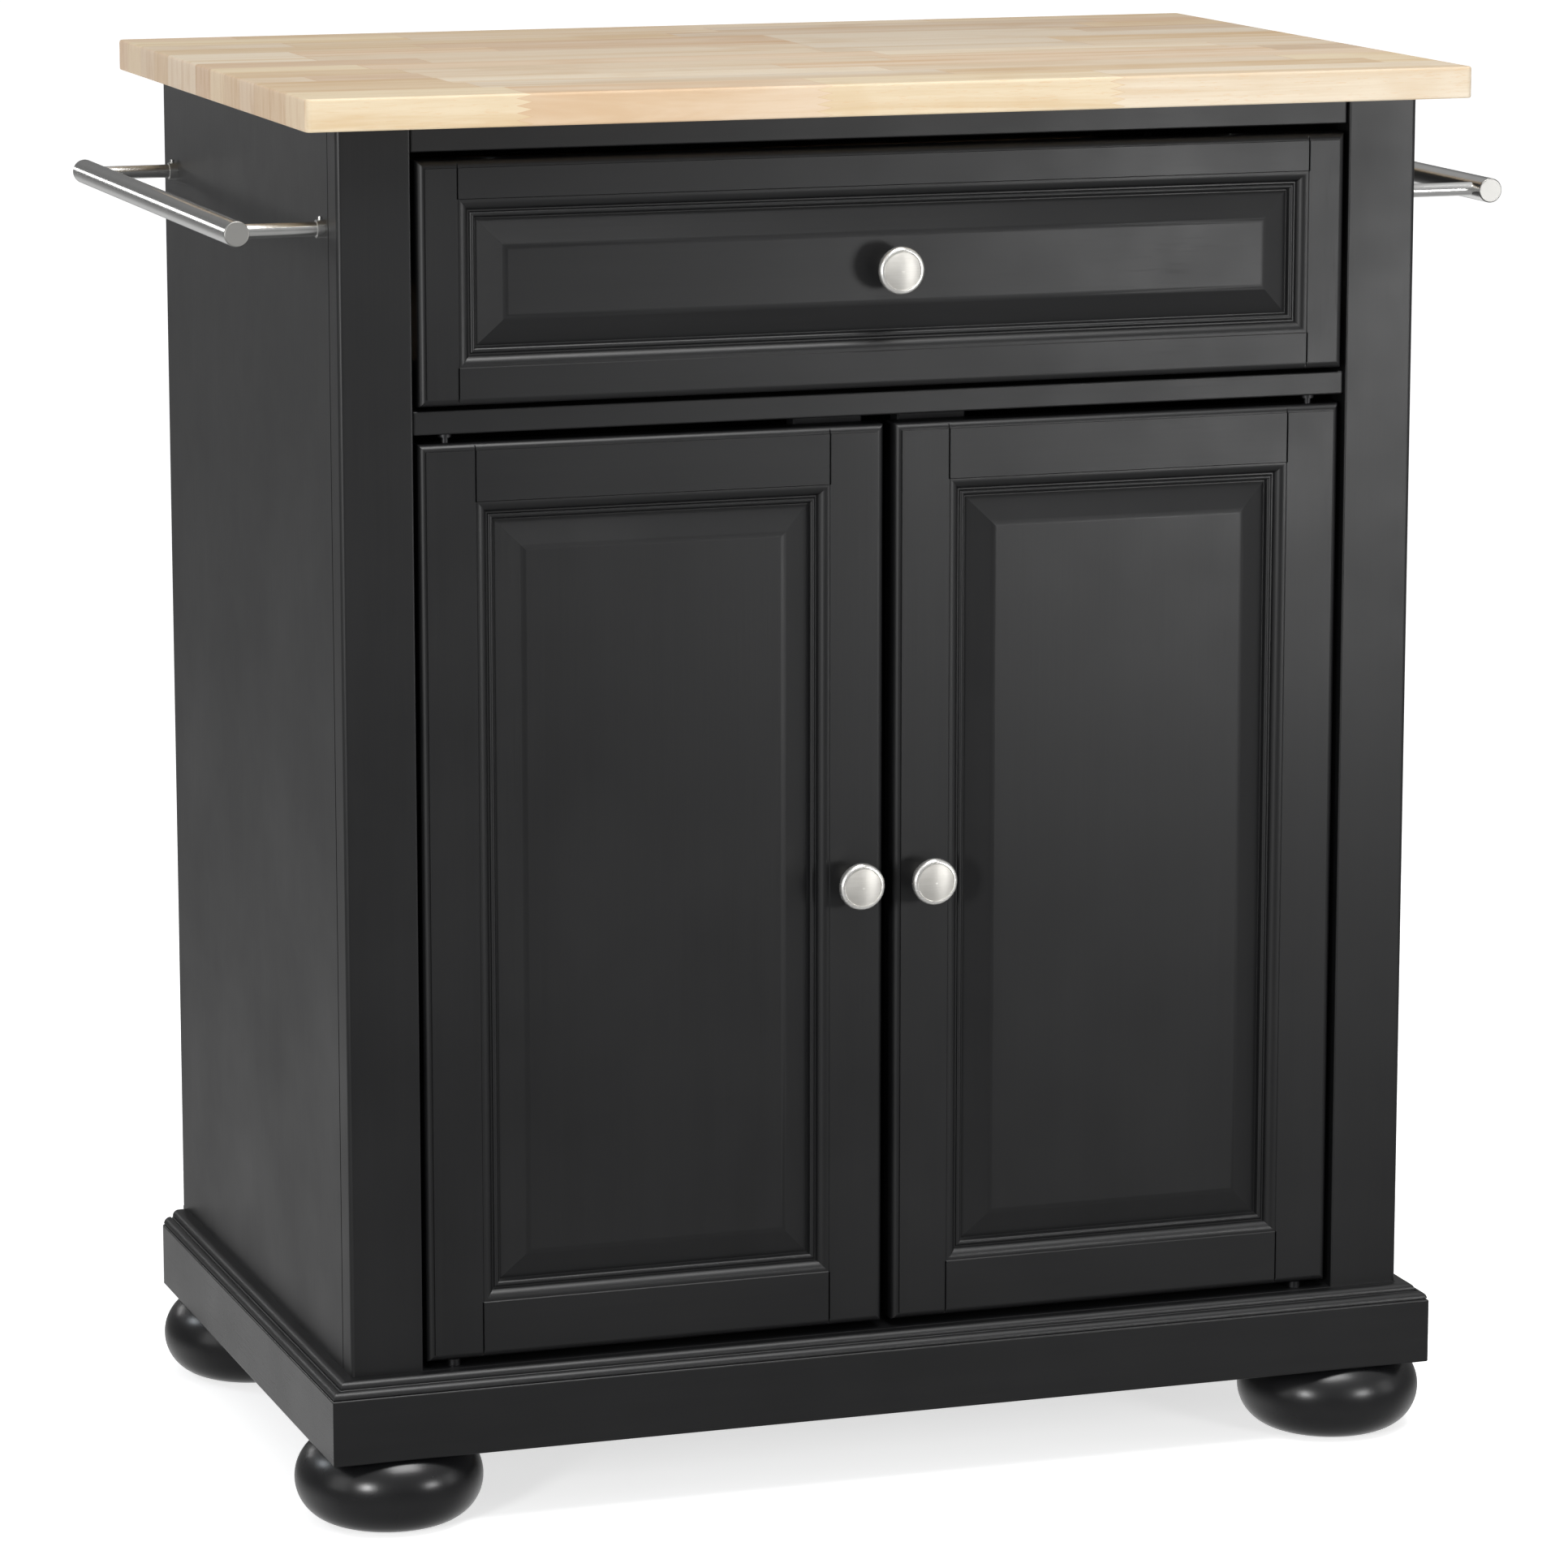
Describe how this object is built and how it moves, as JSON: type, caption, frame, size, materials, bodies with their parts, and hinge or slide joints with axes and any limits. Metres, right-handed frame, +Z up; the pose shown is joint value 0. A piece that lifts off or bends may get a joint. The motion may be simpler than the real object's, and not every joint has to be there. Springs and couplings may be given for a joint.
{
  "type": "butcher block kitchen cart",
  "caption": "Freestanding kitchen cart table with a butcher-block worktop on a painted cabinet: drawer, paired raised-panel doors, shelf, bun feet and side towel bars.",
  "frame": {"origin": "bottom centre of the whole object's box, on the surface it stands on", "axes": "+Z up, the front with the drawer and doors faces -Y, +X to the right of a person facing the front"},
  "size_m": [0.855, 0.502, 0.9144],
  "materials": {
    "butcher_block": "oiled light hardwood block, satin",
    "painted_wood": "black paint over wood, satin, faint grain",
    "birch_ply": "clear-sealed pale wood and plywood",
    "brushed_nickel": "brushed nickel with a polished rim",
    "brushed_steel_bar": "brushed stainless steel",
    "zinc_steel": "zinc-plated steel",
    "nylon": "white nylon",
    "catch_plastic": "black moulded plastic"
  },
  "bodies": {
    "carcass": {"butcher_block_top": "butcher_block", "left_face_stile": "painted_wood", "right_face_stile": "painted_wood", "top_rail": "painted_wood", "mid_rail": "painted_wood", "left_side_panel": "painted_wood", "right_side_panel": "painted_wood", "back_panel": "painted_wood", "bottom_panel": "painted_wood", "stretchers": "painted_wood", "adjustable_shelf": "painted_wood", "shelf_pins": "zinc_steel", "plinth_front": "painted_wood", "plinth_left": "painted_wood", "plinth_right": "painted_wood", "plinth_back": "painted_wood", "base_moulding_front": "painted_wood", "base_moulding_left": "painted_wood", "base_moulding_right": "painted_wood", "plinth_corner_blocks": "birch_ply", "bun_foot_front_left": "painted_wood", "bun_foot_front_right": "painted_wood", "bun_foot_back_left": "painted_wood", "bun_foot_back_right": "painted_wood", "foot_bolts": "zinc_steel", "pivot_pins": "zinc_steel", "magnetic_catches": "catch_plastic", "slide_spacers": "birch_ply", "slide_tracks": "zinc_steel", "left_towel_bar": "brushed_steel_bar", "right_towel_bar": "brushed_steel_bar", "towel_bar_arms": "brushed_steel_bar", "assembly_screws": "zinc_steel"},
    "drawer": {"drawer_front_left_stile": "painted_wood", "drawer_front_right_stile": "painted_wood", "drawer_front_top_rail": "painted_wood", "drawer_front_bottom_rail": "painted_wood", "drawer_front_panel": "painted_wood", "drawer_knob": "brushed_nickel", "drawer_box_front": "birch_ply", "drawer_box_sides": "birch_ply", "drawer_box_back": "birch_ply", "drawer_box_bottom": "birch_ply", "drawer_runners": "zinc_steel"},
    "left_door": {"left_door_hinge_stile": "painted_wood", "left_door_meeting_stile": "painted_wood", "left_door_top_rail": "painted_wood", "left_door_bottom_rail": "painted_wood", "left_door_panel": "painted_wood", "left_door_knob": "brushed_nickel", "left_strike_plate": "zinc_steel"},
    "right_door": {"right_door_hinge_stile": "painted_wood", "right_door_meeting_stile": "painted_wood", "right_door_top_rail": "painted_wood", "right_door_bottom_rail": "painted_wood", "right_door_panel": "painted_wood", "right_door_knob": "brushed_nickel", "right_strike_plate": "zinc_steel"},
    "front_rollers": {"front_slide_rollers": "nylon"},
    "rear_rollers": {"rear_slide_rollers": "nylon"}
  },
  "joints": [
    {"name": "drawer_slide", "type": "slide", "parent": "carcass", "child": "drawer", "axis": [0, -1, 0], "range_m": [0, 0.3]},
    {"name": "left_door_hinge", "type": "hinge", "parent": "carcass", "child": "left_door", "pos_m": [-0.2903, -0.2125, 0.4], "axis": [0, 0, -1], "range_deg": [0, 110]},
    {"name": "right_door_hinge", "type": "hinge", "parent": "carcass", "child": "right_door", "pos_m": [0.2903, -0.2125, 0.4], "axis": [0, 0, 1], "range_deg": [0, 110]},
    {"name": "front_roller_spin", "type": "hinge", "parent": "carcass", "child": "front_rollers", "pos_m": [0, -0.187, 0.772], "axis": [1, 0, 0], "range_deg": [0, 1500]},
    {"name": "rear_roller_spin", "type": "hinge", "parent": "drawer", "child": "rear_rollers", "pos_m": [0, 0.178, 0.7702], "axis": [1, 0, 0], "range_deg": [0, 1500]}
  ],
  "couplings": [
    {"joint": "front_roller_spin", "follows": "drawer_slide", "rad_per_m": 86.207},
    {"joint": "rear_roller_spin", "follows": "drawer_slide", "rad_per_m": 86.207}
  ]
}
